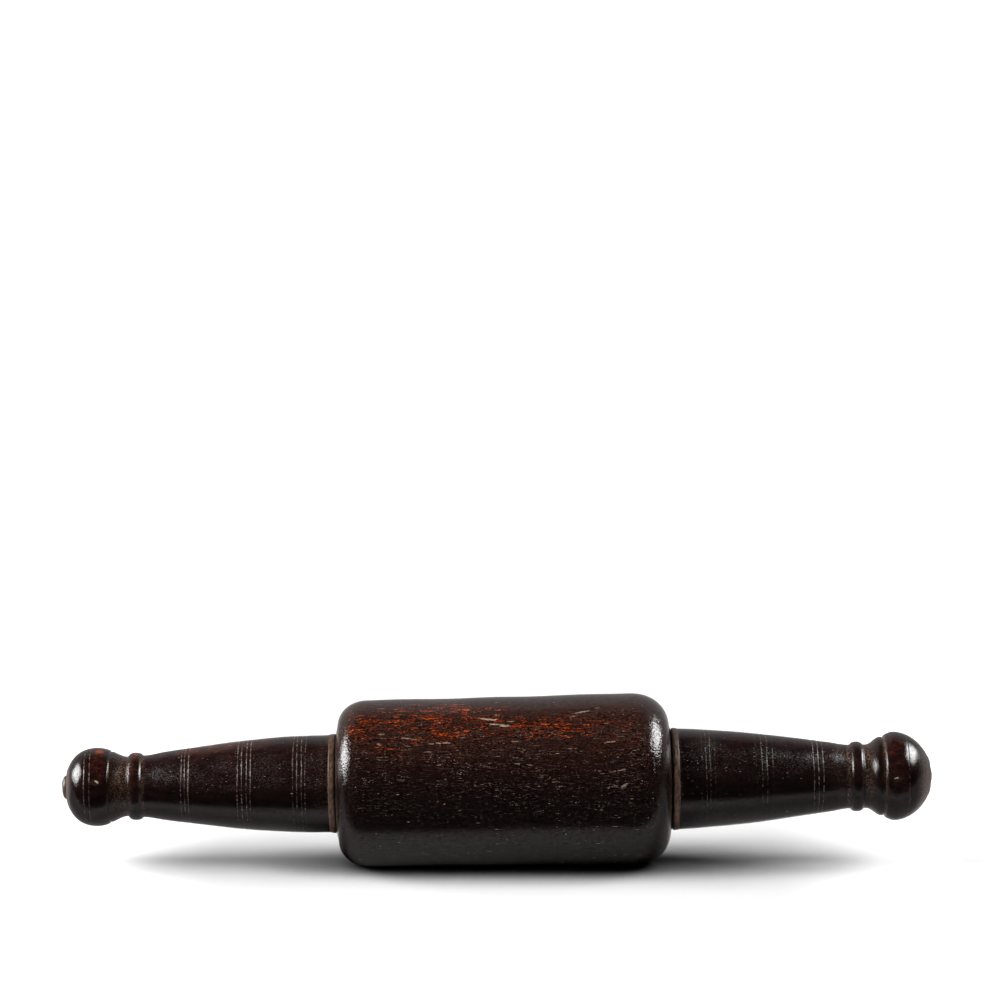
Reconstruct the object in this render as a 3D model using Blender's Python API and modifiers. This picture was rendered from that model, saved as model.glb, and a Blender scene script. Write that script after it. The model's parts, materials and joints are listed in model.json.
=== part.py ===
"""Two-handled turned wooden mallet.

A heavy tapered barrel turns freely on a through axle. A knob-ended handle is pegged to the axle at
each end, and a thin leather washer runs in each joint between barrel and handle. The tool lies on a
narrow flat worn along the barrel, so its axis leans by the barrel's taper.

Metres, +Z up. Origin: middle of the length, in the plane that the tool lies on. +X runs along the
tool, from the slimmer left knob to the stouter right knob.
"""

import math

import bmesh
import bpy
from mathutils import Matrix

# ---------------------------------------------------------------- driving dimensions
MM = 0.001

LENGTH = 406 * MM  # over the two ends of the axle
GAP = 0.3 * MM  # clearance between neighbouring pieces

BARREL_LEFT = -74.5 * MM  # left end face, measured along the axle from mid-length
BARREL_RIGHT = 81.3 * MM  # right end face
BARREL_RADIUS = 39.5 * MM  # at mid-length
BARREL_TAPER = math.radians(0.81)  # half angle, thicker to the right
LEFT_SHOULDER = (13.5 * MM, 11.5 * MM, 2.0)  # rounding along the axle, inward, and how square it is
RIGHT_SHOULDER = (18.0 * MM, 16.0 * MM, 2.1)
END_FACE_RADIUS = 23.8 * MM  # flat ring round each joint
END_CONE = 0.7 * MM  # how far each end face bulges past its shoulder
FLAT_WIDTH = 10 * MM  # strip worn along the barrel's underside

AXLE_RADIUS = 6.0 * MM
NUB_ROUNDING = 2.2 * MM

WASHER_THICKNESS = 2.4 * MM
BUSH_LENGTH = 18 * MM
BUSH_RADIUS = 9.2 * MM
BARREL_BORE_RADIUS = 6.8 * MM

PEG_RADIUS = 1.75 * MM

KNOB_FACE_LAND = 0.7 * MM  # width of the flat ring round the axle on each knob's tip
OGEE_SKEW = 0.82  # below 1 the curve under a knob rises early

# Each handle is measured outward from its root, which is the face against the washer.
LEFT = {
    "name": "left",
    "side": -1,
    "root_radius": 22.75 * MM,
    "fullness": 0.95,  # 0 is a straight cone, 1 a quarter sine
    "neck": (87.1 * MM, 14.45 * MM),  # distance from the root, radius
    "bead": (90.9 * MM, 15.8 * MM, 3.3 * MM),  # and half its width
    "cove": (95.1 * MM, 13.95 * MM),
    "step": None,
    "knob": (108.6 * MM, 18.3 * MM),
    "dome": (15.1 * MM, 2.3),  # length, and how square its curve is (2 is an ellipse)
    "washer_radius": 23.3 * MM,
    "peg_angle": math.radians(20),  # above the horizontal, on the front side
}
RIGHT = {
    "name": "right",
    "side": 1,
    "root_radius": 23.45 * MM,
    "fullness": 0.65,
    "neck": (79.6 * MM, 14.9 * MM),
    "bead": (83.4 * MM, 16.35 * MM, 2.9 * MM),
    "cove": (88.5 * MM, 14.95 * MM),
    "step": (95.1 * MM, 18.4 * MM, 0.7 * MM),  # outer edge of the ridge, radius, groove depth
    "knob": (100.8 * MM, 20.6 * MM),
    "dome": (18.0 * MM, 1.92),
    "washer_radius": 23.95 * MM,
    "peg_angle": math.radians(9),
}

BARREL_SIDES = 64
HANDLE_SIDES = 40
AXLE_SIDES = 32
PEG_SIDES = 16

# Straight steps that stand for each curve of a turned outline
SHOULDER_STEPS = 8
GRIP_STEPS = 9
BEAD_STEPS = 6
OGEE_STEPS = 5
DOME_STEPS = 7
NUB_STEPS = 4

# ---------------------------------------------------------------- derived dimensions
BORE_RADIUS = AXLE_RADIUS + GAP
KNOB_FACE_RADIUS = BORE_RADIUS + KNOB_FACE_LAND
WEAR_DEPTH = BARREL_RADIUS - math.sqrt(BARREL_RADIUS**2 - (FLAT_WIDTH / 2) ** 2)
AXIS_HEIGHT = BARREL_RADIUS * math.cos(BARREL_TAPER) - WEAR_DEPTH
FLOOR_CUTTER_DEPTH = FLAT_WIDTH
WASHER_AT = {-1: BARREL_LEFT - GAP - WASHER_THICKNESS, 1: BARREL_RIGHT + GAP}
ROOT_AT = {
    -1: BARREL_LEFT - WASHER_THICKNESS - 2 * GAP,
    1: BARREL_RIGHT + WASHER_THICKNESS + 2 * GAP,
}


def clear_scene():
    for obj in list(bpy.data.objects):
        bpy.data.objects.remove(obj, do_unlink=True)


def collection(name):
    made = bpy.data.collections.new(name)
    bpy.context.scene.collection.children.link(made)
    return made


def material(name, colour, roughness, metallic=0.0):
    made = bpy.data.materials.new(name)
    made.use_nodes = True
    shader = made.node_tree.nodes["Principled BSDF"]
    shader.inputs["Base Color"].default_value = (*colour, 1.0)
    shader.inputs["Roughness"].default_value = roughness
    shader.inputs["Metallic"].default_value = metallic
    return made


def axis_empty(name, where):
    """An empty on the tool's axis: its local Z runs along the axle, towards the right knob."""
    empty = bpy.data.objects.new(name, None)
    empty.location = (0, 0, AXIS_HEIGHT)
    empty.rotation_euler = (0, math.pi / 2 - BARREL_TAPER, 0)
    where.objects.link(empty)
    return empty


def add_object(name, mesh, look, parent, where):
    obj = bpy.data.objects.new(name, mesh)
    obj.parent = parent
    if look:
        mesh.materials.append(look)
    where.objects.link(obj)
    return obj


def turned(name, profile, closed, sides, look, parent, where):
    """A turned piece: (radius, height) points, listed upward on the outer side, swept about Z."""
    points = [(radius, 0, height) for radius, height in reversed(profile)]
    edges = [(i, i + 1) for i in range(len(points) - 1)]
    if closed:
        edges.append((len(points) - 1, 0))
    mesh = bpy.data.meshes.new(name)
    mesh.from_pydata(points, edges, [])
    obj = add_object(name, mesh, look, parent, where)
    screw = obj.modifiers.new("turning", "SCREW")
    screw.axis = "Z"
    screw.steps = sides
    screw.render_steps = sides
    screw.use_merge_vertices = True
    screw.merge_threshold = 0.00001
    screw.use_smooth_shade = True
    return obj


def cylinder_mesh(name, radius, depth, sides):
    mesh = bpy.data.meshes.new(name)
    bm = bmesh.new()
    bmesh.ops.create_cone(
        bm, cap_ends=True, segments=sides, radius1=radius, radius2=radius, depth=depth
    )
    bm.to_mesh(mesh)
    bm.free()
    mesh.shade_smooth()
    mesh.set_sharp_from_angle(angle=math.radians(40))
    return mesh


def hide_cutter(obj):
    obj.hide_render = True
    obj.display_type = "WIRE"


def cut(obj, cutter):
    boolean = obj.modifiers.new("cut " + cutter.name, "BOOLEAN")
    boolean.operation = "DIFFERENCE"
    boolean.solver = "EXACT"
    boolean.object = cutter


def steps(count):
    """Evenly spaced values from 0 to 1, both included."""
    return [i / count for i in range(count + 1)]


# ---------------------------------------------------------------- outlines
def barrel_radius(height):
    return BARREL_RADIUS + height * math.tan(BARREL_TAPER)


def shoulder(end_height, rounding, side):
    """A quarter ellipse, a little squared, from the barrel's side to its end face, outward."""
    along, inward, power = rounding
    start = end_height - side * (along + END_CONE)
    radius = barrel_radius(start)
    arc = []
    for t in steps(SHOULDER_STEPS):
        angle = t * math.pi / 2
        height = start + side * along * math.sin(angle) ** (2 / power)
        arc.append((radius - inward * (1 - abs(math.cos(angle)) ** (2 / power)), height))
    return arc


def barrel_profile():
    """Outer side upward, then the stepped bore downward."""
    seat = BUSH_RADIUS + GAP
    seat_depth = BUSH_LENGTH + GAP
    outer = [(END_FACE_RADIUS, BARREL_LEFT)]
    outer += reversed(shoulder(BARREL_LEFT, LEFT_SHOULDER, -1))
    outer += shoulder(BARREL_RIGHT, RIGHT_SHOULDER, 1)
    outer.append((END_FACE_RADIUS, BARREL_RIGHT))
    bore = [
        (seat, BARREL_RIGHT),
        (seat, BARREL_RIGHT - seat_depth),
        (BARREL_BORE_RADIUS, BARREL_RIGHT - seat_depth),
        (BARREL_BORE_RADIUS, BARREL_LEFT + seat_depth),
        (seat, BARREL_LEFT + seat_depth),
        (seat, BARREL_LEFT),
    ]
    return outer + bore


def grip_outline(dims):
    """The swelling grip, from its root to its neck."""
    neck_at, neck_radius = dims["neck"]
    swell = dims["root_radius"] - neck_radius
    outline = []
    for t in steps(GRIP_STEPS):
        rise = dims["fullness"] * math.sin(t * math.pi / 2) + (1 - dims["fullness"]) * t
        outline.append((neck_radius + swell * rise, neck_at * (1 - t)))
    return outline[::-1]


def bead_outline(dims):
    """A half-round bead between the neck and the cove."""
    peak_at, peak_radius, half_width = dims["bead"]
    outline = []
    for t in steps(BEAD_STEPS):
        floor = dims["neck"][1] if t < 0.5 else dims["cove"][1]
        angle = math.pi * t
        radius = floor + (peak_radius - floor) * math.sin(angle)
        outline.append((radius, peak_at - half_width * math.cos(angle)))
    outline.append((dims["cove"][1], dims["cove"][0]))
    return outline


def ogee(start, end, count):
    """An S-curve between two (height, radius) points, without its first point."""
    outline = []
    for t in steps(count)[1:]:
        rise = (1 - math.cos(math.pi * t**OGEE_SKEW)) / 2
        height = start[0] + (end[0] - start[0]) * t
        outline.append((start[1] + (end[1] - start[1]) * rise, height))
    return outline


def dome_outline(dims):
    """The knob's rounded end, from its widest circle to the small face round the axle."""
    knob_at, knob_radius = dims["knob"]
    length, power = dims["dome"]
    last = math.asin((1 - (KNOB_FACE_RADIUS / knob_radius) ** power) ** 0.5)
    outline = []
    for t in steps(DOME_STEPS)[1:]:
        angle = last * t
        radius = knob_radius * math.cos(angle) ** (2 / power)
        outline.append((radius, knob_at + length * math.sin(angle) ** (2 / power)))
    return outline


def quarter_round(start, end, count):
    """A quarter ellipse between two (height, radius) points that ends level, without its first point."""
    outline = []
    for t in steps(count)[1:]:
        rise = math.sin(t * math.pi / 2)
        outline.append((start[1] + (end[1] - start[1]) * rise, start[0] + (end[0] - start[0]) * t))
    return outline


def knob_neck_outline(dims):
    """From the cove up to the knob's widest circle, with the stepped ridge where there is one."""
    if dims["step"] is None:
        return ogee(dims["cove"], dims["knob"], OGEE_STEPS)
    step_at, step_radius, groove = dims["step"]
    outline = ogee(dims["cove"], (step_at, step_radius), OGEE_STEPS - 1)
    outline.append((step_radius - groove, step_at + groove))
    knob_start = (step_at + 2 * groove, step_radius + groove)
    outline.append(knob_start[::-1])
    return outline + quarter_round(knob_start, dims["knob"], OGEE_STEPS - 2)


def handle_profile(dims):
    """Outer side from the root outward, then back down the bore."""
    outer = grip_outline(dims) + bead_outline(dims) + knob_neck_outline(dims) + dome_outline(dims)
    tip = outer[-1][1]
    return outer + [(BORE_RADIUS, tip), (BORE_RADIUS, 0)]


def nub_outline(end_height, side):
    """The axle's rounded end, from its side to its centre."""
    outline = []
    for t in steps(NUB_STEPS):
        angle = t * math.pi / 2
        radius = (AXLE_RADIUS - NUB_ROUNDING) + NUB_ROUNDING * math.cos(angle)
        outline.append((radius, end_height - side * NUB_ROUNDING / 2 * (1 - math.sin(angle))))
    outline.append((0, end_height))
    return outline


# ---------------------------------------------------------------- pieces
def add_barrel(look, parent, parts, cutters):
    obj = turned("barrel", barrel_profile(), True, BARREL_SIDES, look, parent, parts)
    mesh = bpy.data.meshes.new("floor_cutter")
    bm = bmesh.new()
    size = Matrix.Diagonal((LENGTH, 4 * FLAT_WIDTH, FLOOR_CUTTER_DEPTH, 1))
    bmesh.ops.create_cube(bm, size=1, matrix=size)
    bm.to_mesh(mesh)
    bm.free()
    cutter = add_object("floor_cutter", mesh, None, None, cutters)
    cutter.location = (0, 0, -FLOOR_CUTTER_DEPTH / 2)
    hide_cutter(cutter)
    cut(obj, cutter)


def add_bush(name, start, look, parent, parts):
    profile = [
        (BUSH_RADIUS, start),
        (BUSH_RADIUS, start + BUSH_LENGTH),
        (BORE_RADIUS, start + BUSH_LENGTH),
        (BORE_RADIUS, start),
    ]
    turned(name, profile, True, HANDLE_SIDES, look, parent, parts)


def add_washer(dims, look, parent, parts):
    start = WASHER_AT[dims["side"]]
    profile = [
        (dims["washer_radius"], start),
        (dims["washer_radius"], start + WASHER_THICKNESS),
        (BORE_RADIUS, start + WASHER_THICKNESS),
        (BORE_RADIUS, start),
    ]
    turned(dims["name"] + "_thrust_washer", profile, True, HANDLE_SIDES, look, parent, parts)


def add_handle(dims, look, parent, parts):
    profile = handle_profile(dims)
    obj = turned(dims["name"] + "_handle", profile, True, HANDLE_SIDES, look, parent, parts)
    obj.location = (0, 0, ROOT_AT[dims["side"]])
    if dims["side"] < 0:
        obj.rotation_euler = (math.pi, 0, 0)
    return obj


def add_axle(look, parent, parts):
    tip = LENGTH / 2
    profile = nub_outline(-tip, -1)[::-1] + nub_outline(tip, 1)
    return turned("axle", profile, False, AXLE_SIDES, look, parent, parts)


def peg_pose(obj, dims):
    """Across the axle through the knob's widest circle, its front end raised a little."""
    obj.location = (0, 0, ROOT_AT[dims["side"]] + dims["side"] * dims["knob"][0])
    obj.rotation_euler = (math.pi / 2, 0, -dims["peg_angle"])


def add_peg(dims, handle, axle, look, parent, parts, cutters):
    knob_radius = dims["knob"][1]
    name = dims["name"] + "_cross_peg"
    mesh = cylinder_mesh(name, PEG_RADIUS, 2 * (knob_radius - GAP), PEG_SIDES)
    peg_pose(add_object(name, mesh, look, parent, parts), dims)
    hole = cylinder_mesh(name + "_hole", PEG_RADIUS + GAP, 3 * knob_radius, PEG_SIDES)
    cutter = add_object(name + "_hole", hole, None, parent, cutters)
    peg_pose(cutter, dims)
    hide_cutter(cutter)
    cut(handle, cutter)
    cut(axle, cutter)


def build():
    clear_scene()
    parts = collection("wooden_mallet")
    cutters = collection("wooden_mallet_cutters")

    barrel_wood = material("dark_barrel_wood", (0.060, 0.016, 0.007), 0.28)
    handle_wood = material("dark_handle_wood", (0.035, 0.013, 0.008), 0.25)
    axle_wood = material("pale_axle_wood", (0.200, 0.130, 0.080), 0.55)
    peg_wood = material("pale_peg_wood", (0.300, 0.200, 0.110), 0.55)
    bush_wood = material("boxwood", (0.450, 0.310, 0.140), 0.45)
    leather = material("waxed_leather", (0.130, 0.075, 0.040), 0.60)

    spindle = axis_empty("spindle_axis", parts)
    roller = axis_empty("barrel_axis", parts)

    add_barrel(barrel_wood, roller, parts, cutters)
    add_bush("left_bush", BARREL_LEFT, bush_wood, roller, parts)
    add_bush("right_bush", BARREL_RIGHT - BUSH_LENGTH, bush_wood, roller, parts)

    axle = add_axle(axle_wood, spindle, parts)
    for dims in (LEFT, RIGHT):
        add_washer(dims, leather, spindle, parts)
        handle = add_handle(dims, handle_wood, spindle, parts)
        add_peg(dims, handle, axle, peg_wood, spindle, parts, cutters)


build()
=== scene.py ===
"""Looks of the two-handled turned wooden mallet.

Every visible piece is turned again at fine resolution from the section of its CAD node, then gets its
scored lines, gouges and wear as geometry, and its chips, wood, dust and wax as node materials.
Lengths are in metres unless a name ends in _MM or _DEG.
"""

import json
import math

import bmesh
import bpy
import numpy as np
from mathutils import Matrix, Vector


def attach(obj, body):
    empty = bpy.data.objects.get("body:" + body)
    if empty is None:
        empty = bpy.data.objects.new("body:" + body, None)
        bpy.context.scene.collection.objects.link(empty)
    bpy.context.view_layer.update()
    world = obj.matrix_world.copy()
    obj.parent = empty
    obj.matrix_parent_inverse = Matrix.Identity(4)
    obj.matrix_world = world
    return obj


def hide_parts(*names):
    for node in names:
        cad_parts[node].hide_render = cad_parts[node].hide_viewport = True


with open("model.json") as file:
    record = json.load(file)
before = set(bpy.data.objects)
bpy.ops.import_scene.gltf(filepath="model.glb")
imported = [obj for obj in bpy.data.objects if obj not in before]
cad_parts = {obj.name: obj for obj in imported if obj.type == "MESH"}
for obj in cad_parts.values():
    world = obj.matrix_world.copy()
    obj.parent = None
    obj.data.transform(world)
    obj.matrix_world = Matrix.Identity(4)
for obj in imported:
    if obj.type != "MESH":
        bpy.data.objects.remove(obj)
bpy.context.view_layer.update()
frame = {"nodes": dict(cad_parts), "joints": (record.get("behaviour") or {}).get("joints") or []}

MM = 0.001

# The axle's line, and the two directions that angles round it are measured from
AXLE_POINT = Vector(frame["joints"][0]["pos_m"])
ALONG = Vector(frame["joints"][0]["axis"]).normalized()
UP = Vector((-ALONG.z, 0, ALONG.x))
FRONT = Vector((0, -1, 0))
TILT = math.atan2(ALONG.z, ALONG.x)

# ---------------------------------------------------------------- driving values of the details
ROW_SPACING = 0.60 * MM
BARREL_ROW_SPACING = 0.72 * MM
BORE_ROW_SPACING = 6.0 * MM
GROOVE_ROW_SPACING = 0.11 * MM
EDGE_SOFTNESS = 0.30 * MM
NUB_STARTS = 200.2 * MM  # the axle's ends are worn to domes from here out
WASHER_REACH = 0.70 * MM  # each washer's rim is pressed this far into the rounded edge of its handle
CORNER = math.radians(42)  # a section that turns more than this at a point keeps a crease there
STRAIGHT = 12 * MM  # a section's side longer than this is straight
CURVE_STEP = 0.1 * MM
HANDLE_COLUMNS = 250
BARREL_COLUMNS = 365
WASHER_COLUMNS = 240
AXLE_COLUMNS = 96
PEG_COLUMNS = 56
BARREL_DENTS = 70

# Scored lines on the grips and knobs: distance from the root of the handle, depth
LEFT_LINES_MM = [
    (11.0, 0.16), (12.8, 0.18), (14.8, 0.20), (16.6, 0.18),
    (36.5, 0.20), (38.3, 0.22), (40.4, 0.24), (42.4, 0.20),
    (65.5, 0.24), (67.2, 0.24), (68.7, 0.18),
    (102.2, 0.60), (111.3, 0.10), (113.7, 0.10),
]
RIGHT_LINES_MM = [
    (10.8, 0.08), (12.8, 0.12), (14.6, 0.12), (16.7, 0.08),
    (35.9, 0.10), (38.7, 0.14), (41.0, 0.14), (43.6, 0.10),
    (62.7, 0.20), (65.0, 0.20), (67.1, 0.16),
    (106.5, 0.10),
]
WIDE_GROOVE_MM = 0.5  # a line deeper than this is a wide, dark groove
# How much pale dust the lines of each handle hold, group by group, towards the knob
LEFT_DUST = [0.60] * 4 + [0.95] * 4 + [0.95] * 3 + [0.0, 0.60, 0.50]
RIGHT_DUST = [0.10, 0.30, 0.25, 0.08] + [0.12, 0.30, 0.25, 0.10] + [0.55, 0.65, 0.65] + [0.35]

# Gouges on the barrel: along from mid-length, angle above the front, length, width, slope, bend
GOUGES_MM = [
    (-3.7, 60.0, 7.8, 1.10, -11, 0.2),
    (1.4, 54.6, 9.8, 0.75, -9, -0.4),
    (3.8, 53.0, 5.0, 0.60, -5, 0.0),
    (6.9, 57.2, 3.6, 0.50, -3, 0.0),
    (38.8, 64.6, 9.5, 0.55, 13, 0.0),
    (36.2, 60.8, 4.4, 0.50, 12, 0.0),
    (46.9, 69.0, 2.6, 0.60, 16, 0.0),
    (51.0, 53.3, 2.4, 0.50, 12, 0.0),
    (52.3, 38.5, 5.2, 0.55, 5, 0.0),
    (53.0, 18.3, 2.8, 0.55, 6, 0.0),
    (57.6, 19.4, 3.4, 0.60, 10, 0.0),
    (47.2, 19.0, 1.5, 0.80, 10, 0.0),
    (58.5, 9.2, 3.6, 0.90, 32, 0.2),
    (33.3, 42.5, 2.0, 0.50, 0, 0.0),
    (34.1, 34.4, 2.4, 0.50, -3, 0.0),
    (38.7, 32.3, 1.8, 0.50, -20, 0.0),
    (8.6, 40.4, 3.4, 0.45, 0, 0.0),
    (9.6, 24.4, 2.4, 0.50, 0, 0.0),
    (15.3, 23.5, 2.8, 0.45, -8, 0.0),
    (-15.7, 44.1, 2.8, 0.45, 0, 0.0),
    (-25.8, 40.0, 9.2, 0.50, 2, 0.0),
    (-26.3, 24.5, 2.2, 0.45, 3, 0.0),
    (-31.3, 33.9, 3.6, 0.50, 3, 0.0),
    (-40.0, 44.2, 9.6, 0.45, -10, 0.2),
    (-41.8, 39.3, 1.5, 0.50, -45, 0.0),
    (-44.6, 37.5, 2.0, 0.50, -45, 0.0),
    (-52.8, 48.2, 3.2, 0.80, 2, 0.0),
    (-53.7, 40.1, 2.2, 0.80, -20, 0.0),
    (-23.2, 14.7, 1.4, 0.50, 0, 0.0),
]

# Patches of orange wood on the barrel: along, angle above the front, half length,
# half width, strength
ORANGE_MM = [
    (-63, 52, 7, 4.5, 0.50),
    (-55, 61, 10, 3.0, 0.26),
    (-57, 43, 6, 3.0, 0.25),
    (-24, 61, 17, 3.5, 0.40),
    (-26, 54, 6, 2.5, 0.30),
    (-22, 48, 17, 3.5, 0.48),
    (-15, 70, 22, 3.5, 0.28),
    (24, 56, 16, 2.6, 0.22),
    (14, 49, 22, 4.0, 0.32),
    (34, 48, 8, 4.0, 0.20),
    (62, 44, 12, 8.0, 0.10),
]

# The pale chip on each peg's front end: place from the peg's middle, slope, length, width
PEG_CHIPS_MM = {"left": ((1.0, 0.2), -35, 2.2, 0.8), "right": ((-0.5, 0.4), 12, 2.2, 0.45)}

# Rough, worn places on the grips that catch the light, with a grey painted sheen mixed into their colour:
# distance from the root, angle, half length, half width, strength
LEFT_WORN_AND_SHEEN_MM = [
    (79.5, 33, 7.0, 3.4, 1.0),
    (71.0, 22, 6.0, 2.5, 0.6),
    (47.0, 8, 9.0, 1.6, 0.5),
    (8.0, 30, 6.0, 8.0, 0.6),
    (52.0, 30, 10.0, 5.0, 0.35),
    (26.0, 30, 8.0, 7.0, 0.35),
]
RIGHT_WORN_AND_SHEEN_MM = [
    (74.2, 48, 6.0, 3.0, 0.8),
    (39.7, 30, 1.2, 4.0, 0.8),
    (61.0, 42, 4.0, 4.0, 0.6),
    (15.0, 52, 5.0, 3.5, 0.6),
    (46.0, 46, 14.0, 3.5, 0.55),
    (8.0, 40, 7.0, 7.0, 0.55),
]


# ---------------------------------------------------------------- reading the frame
def section(node):
    """A turned CAD node's section in the upright half-plane over the axle: ordered (along, radius) rows."""
    bm = bmesh.new()
    bm.from_mesh(frame["nodes"][node].data)
    bmesh.ops.remove_doubles(bm, verts=bm.verts, dist=MM / 1000)
    on_plane = {}
    for vert in bm.verts:
        offset = vert.co - AXLE_POINT
        height = offset.dot(ALONG)
        outward = offset - height * ALONG
        if outward.dot(UP) > outward.length * 0.99999:
            on_plane[vert] = (height, outward.length)
    ends = [v for v in on_plane if sum(e.other_vert(v) in on_plane for e in v.link_edges) == 1]
    start = min(ends or on_plane, key=lambda v: (on_plane[v][0], -on_plane[v][1]))
    walk = [start]
    while True:
        ahead = [e.other_vert(walk[-1]) for e in walk[-1].link_edges]
        ahead = [v for v in ahead if v in on_plane and v not in walk]
        if not ahead:
            break
        walk.append(max(ahead, key=lambda v: on_plane[v][1]) if len(walk) == 1 else ahead[0])
    rows = np.array([on_plane[v] for v in walk])
    bm.free()
    return rows, not ends


def hermite(start, end, leave, arrive):
    """Dense points on the curve from start up to, and without, end, with unit directions at both."""
    length = np.linalg.norm(end - start)
    t = np.linspace(0, 1, max(2, int(length / CURVE_STEP)), endpoint=False)[:, None]
    return (
        (2 * t**3 - 3 * t**2 + 1) * start
        + (t**3 - 2 * t**2 + t) * length * leave
        + (3 * t**2 - 2 * t**3) * end
        + (t**3 - t**2) * length * arrive
    )


def smooth_section(rows, closed):
    """The section as a dense curve, smooth along its curves and creased at its corners."""
    count = len(rows)
    chord = np.roll(rows, -1, axis=0) - rows
    length = np.linalg.norm(chord, axis=1, keepdims=True)
    ahead = chord / length
    behind = np.roll(ahead, 1, axis=0)
    before = np.roll(length, 1, axis=0)
    mean = behind * length + ahead * before
    mean = np.where(length > STRAIGHT, ahead, np.where(before > STRAIGHT, behind, mean))
    mean /= np.linalg.norm(mean, axis=1, keepdims=True)
    turn = np.arccos(np.clip((behind * ahead).sum(1), -1, 1))
    corner = turn > CORNER
    if not closed:
        corner[0] = corner[-1] = True
    dense = []
    for i in range(count if closed else count - 1):
        following = (i + 1) % count
        leave = ahead[i] if corner[i] else mean[i]
        arrive = ahead[i] if corner[following] else mean[following]
        dense.append(hermite(rows[i], rows[following], leave, arrive))
    if not closed:
        dense.append(rows[-1:])
    return np.concatenate(dense)


def soften(curve, closed):
    """Wears a curve's corners round by a small running average."""
    reach = int(EDGE_SOFTNESS / CURVE_STEP) * 2
    weights = np.exp(-0.5 * (np.arange(-reach, reach + 1) / (reach / 2)) ** 2)
    weights /= weights.sum()
    if closed:
        padded = np.concatenate([curve[-reach:], curve, curve[:reach]])
    else:
        padded = np.concatenate([np.repeat(curve[:1], reach, 0), curve, np.repeat(curve[-1:], reach, 0)])
    return np.stack([np.convolve(padded[:, k], weights, "valid") for k in (0, 1)], axis=1)


def resample(curve, closed, spacing_at):
    """Rows along the curve at the spacing that spacing_at(along, radius) asks for."""
    loop = np.concatenate([curve, curve[:1]]) if closed else curve
    gaps = np.linalg.norm(np.diff(loop, axis=0), axis=1)
    middle = (loop[1:] + loop[:-1]) / 2
    load = np.concatenate([[0], np.cumsum(gaps / spacing_at(middle[:, 0], middle[:, 1]))])
    count = int(load[-1])
    wanted = np.linspace(0, load[-1], count, endpoint=not closed)
    return np.stack([np.interp(wanted, load, loop[:, k]) for k in (0, 1)], axis=1)


def outward_normals(rows, closed):
    """Unit normals of the section, pointing out of the material."""
    if closed:
        tangent = np.roll(rows, -1, axis=0) - np.roll(rows, 1, axis=0)
        area = np.sum(rows[:, 0] * np.roll(rows[:, 1], -1) - np.roll(rows[:, 0], -1) * rows[:, 1])
    else:
        tangent = np.gradient(rows, axis=0)
        area = -1.0
    tangent /= np.linalg.norm(tangent, axis=1, keepdims=True) + 1e-12
    normal = np.stack([tangent[:, 1], -tangent[:, 0]], axis=1)
    return normal if area > 0 else -normal


# ---------------------------------------------------------------- building meshes
def angles_round(columns):
    """Evenly spaced angles round a turned piece, as one row."""
    return np.linspace(0, 2 * math.pi, columns, endpoint=False)[None, :]


def place(height, radius, angle):
    """World points from distance along the axle, radius, and angle above the front."""
    out = np.cos(angle)[..., None] * np.array(FRONT) + np.sin(angle)[..., None] * np.array(UP)
    return np.array(AXLE_POINT) + height[..., None] * np.array(ALONG) + radius[..., None] * out


def place_pushed(rows, normal, shift, angle):
    """World points of turned rows that are pushed out along the section's normals by shift."""
    height, radius = rows[:, :1], rows[:, 1:]
    return place(height + shift * normal[:, :1], radius + shift * normal[:, 1:], angle + 0 * height)


def grid_object(name, points, closed, masks):
    """A closed mesh from a grid of points, wrapped round its columns, and round its rows if closed."""
    rows, columns = points.shape[:2]
    index = np.arange(rows * columns).reshape(rows, columns)
    lower = index if closed else index[:-1]
    upper = np.roll(index, -1, axis=0) if closed else index[1:]
    quads = np.stack([lower, np.roll(lower, -1, 1), np.roll(upper, -1, 1), upper], axis=-1)
    faces = quads.reshape(-1, 4).tolist()
    if not closed:
        faces += [index[0].tolist(), index[-1][::-1].tolist()]
    mesh = bpy.data.meshes.new(name)
    mesh.from_pydata(points.reshape(-1, 3).tolist(), [], faces)
    for key, values in masks.items():
        attribute = mesh.attributes.new(key, "FLOAT", "POINT")
        values = np.broadcast_to(np.clip(values, 0, 1), (rows, columns))
        attribute.data.foreach_set("value", values.astype(np.float32).ravel())
    bm = bmesh.new()
    bm.from_mesh(mesh)
    bmesh.ops.recalc_face_normals(bm, faces=bm.faces)
    bm.to_mesh(mesh)
    bm.free()
    mesh.shade_smooth()
    obj = bpy.data.objects.new(name, mesh)
    bpy.context.scene.collection.objects.link(obj)
    return obj


def stand_in(obj, node, body, look):
    """Makes a piece stand for a CAD node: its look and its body."""
    obj.data.materials.append(look)
    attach(obj, body)
    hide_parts(node)


# ---------------------------------------------------------------- small patterns over a surface
def ripple(seed, height, angle, longest, turns, waves=7):
    """Smooth unevenness between about -1 and 1, periodic round the axle."""
    rng = np.random.default_rng(seed)
    total = np.zeros(np.broadcast(height, angle).shape)
    for _ in range(waves):
        wave = rng.uniform(0.4, 1.6) / longest
        round_about = rng.integers(0, turns + 1)
        total += np.sin(2 * math.pi * wave * height + round_about * angle + rng.uniform(0, 2 * math.pi))
    return total / math.sqrt(waves)


def bump_at(distance, width):
    """A bell curve: 1 at no distance, 0.37 at the given width."""
    return np.exp(-((distance / width) ** 2))


def step_between(value, low, high):
    """A smooth step from 0 at low to 1 at high."""
    t = np.clip((value - low) / (high - low), 0, 1)
    return t * t * (3 - 2 * t)


def angle_between(angle, middle_deg):
    """Signed difference in radians, in the range -pi to pi."""
    return (angle - math.radians(middle_deg) + math.pi) % (2 * math.pi) - math.pi


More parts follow.
